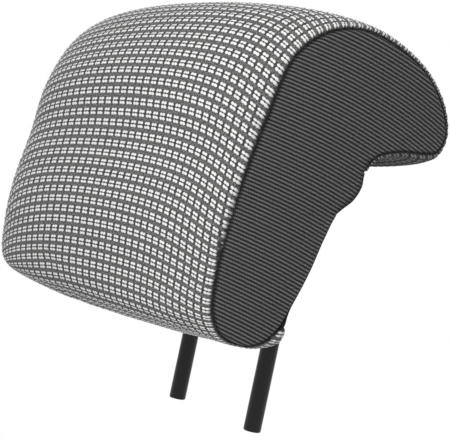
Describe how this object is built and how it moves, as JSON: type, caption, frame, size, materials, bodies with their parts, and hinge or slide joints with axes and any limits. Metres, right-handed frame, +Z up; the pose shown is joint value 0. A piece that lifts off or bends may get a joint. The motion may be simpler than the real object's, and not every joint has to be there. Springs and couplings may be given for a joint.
{
  "type": "car headrest",
  "caption": "Car headrest: wide barrel-fronted pad hooked back at the top, tufted cloth centre band, ribbed side panels and round steel posts.",
  "frame": {"origin": "midway between the lower ends of the two posts", "axes": "+Z up along the posts, -Y the front where the head rests, +X across the pad"},
  "size_m": [0.284, 0.2122, 0.2788],
  "materials": {
    "post_black": "satin black coat",
    "zinc_steel": "bright zinc",
    "inner_plastic": "moulded matt",
    "foam": "open moulded foam",
    "tufted_cloth": "dark cloth with pairs of pale tufts in rows",
    "ribbed_cloth": "charcoal cloth with fine ribs",
    "plain_cloth": "plain dark cloth"
  },
  "bodies": {
    "root": {"post_frame": "post_black", "carrier_front": "inner_plastic", "carrier_rear": "inner_plastic", "carrier_screw_1": "zinc_steel", "carrier_screw_2": "zinc_steel", "carrier_screw_3": "zinc_steel", "carrier_screw_4": "zinc_steel", "foam_core": "foam", "centre_band": "tufted_cloth", "rear_panel": "plain_cloth", "side_panel_left": "ribbed_cloth", "side_panel_right": "ribbed_cloth", "listing_wire_upper": "zinc_steel", "anchor_wire_upper": "zinc_steel", "listing_wire_lower": "zinc_steel", "anchor_wire_lower": "zinc_steel", "hog_ring_upper_1": "zinc_steel", "hog_ring_upper_2": "zinc_steel", "hog_ring_upper_3": "zinc_steel", "hog_ring_lower_1": "zinc_steel", "hog_ring_lower_2": "zinc_steel", "hog_ring_lower_3": "zinc_steel", "closure_strip_front": "inner_plastic", "closure_strip_rear": "inner_plastic"}
  },
  "joints": []
}
